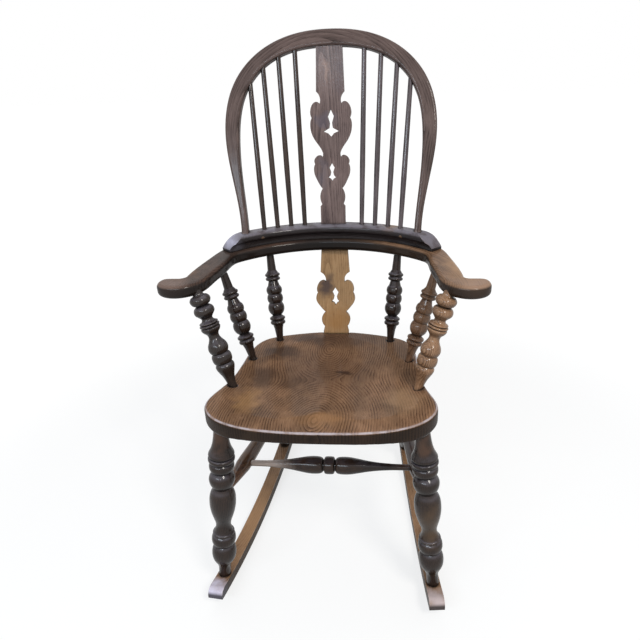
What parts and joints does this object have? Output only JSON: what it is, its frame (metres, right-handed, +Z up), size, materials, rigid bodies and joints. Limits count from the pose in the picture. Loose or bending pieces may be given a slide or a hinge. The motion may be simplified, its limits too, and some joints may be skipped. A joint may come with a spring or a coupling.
{
  "type": "rocking chair",
  "caption": "High-back Windsor rocking chair with a bow hoop, stick back, fretted splats, broad arms, turned legs and arm supports, and curved rockers.",
  "frame": {"origin": "on the floor, in the middle of the chair's width and of its overall depth", "axes": "+Z up, +Y towards the back, +X to the right of someone who faces the chair from its front"},
  "size_m": [0.6454, 0.6993, 1.1296],
  "materials": {
    "seat_wood": "dark stain and worn gloss varnish",
    "turned_wood": "dark stain and gloss varnish",
    "bow_wood": "dark stain and worn gloss varnish",
    "stick_wood": "dark stain and gloss varnish",
    "splat_wood": "brown stain and gloss varnish",
    "stretcher_wood": "worn brown stain",
    "rocker_wood": "worn brown stain",
    "peg_wood": "worn end grain",
    "screw_steel": "dull steel"
  },
  "bodies": {
    "root": {"seat": "seat_wood", "left_rocker": "rocker_wood", "left_front_leg": "turned_wood", "left_rear_leg": "turned_wood", "left_side_stretcher": "stretcher_wood", "left_arm": "bow_wood", "left_arm_post": "turned_wood", "left_side_spindle": "turned_wood", "left_rear_spindle": "turned_wood", "left_back_spindle_1": "stick_wood", "left_back_spindle_2": "stick_wood", "left_back_spindle_3": "stick_wood", "left_back_spindle_4": "stick_wood", "right_rocker": "rocker_wood", "right_front_leg": "turned_wood", "right_rear_leg": "turned_wood", "right_side_stretcher": "stretcher_wood", "right_arm": "bow_wood", "right_arm_post": "turned_wood", "right_side_spindle": "turned_wood", "right_rear_spindle": "turned_wood", "right_back_spindle_1": "stick_wood", "right_back_spindle_2": "stick_wood", "right_back_spindle_3": "stick_wood", "right_back_spindle_4": "stick_wood", "cross_stretcher": "stretcher_wood", "crest_rail": "bow_wood", "hoop": "bow_wood", "upper_splat": "splat_wood", "lower_splat": "splat_wood", "crest_plugs": "peg_wood", "crest_screws": "screw_steel", "rocker_pegs": "peg_wood"}
  },
  "joints": []
}
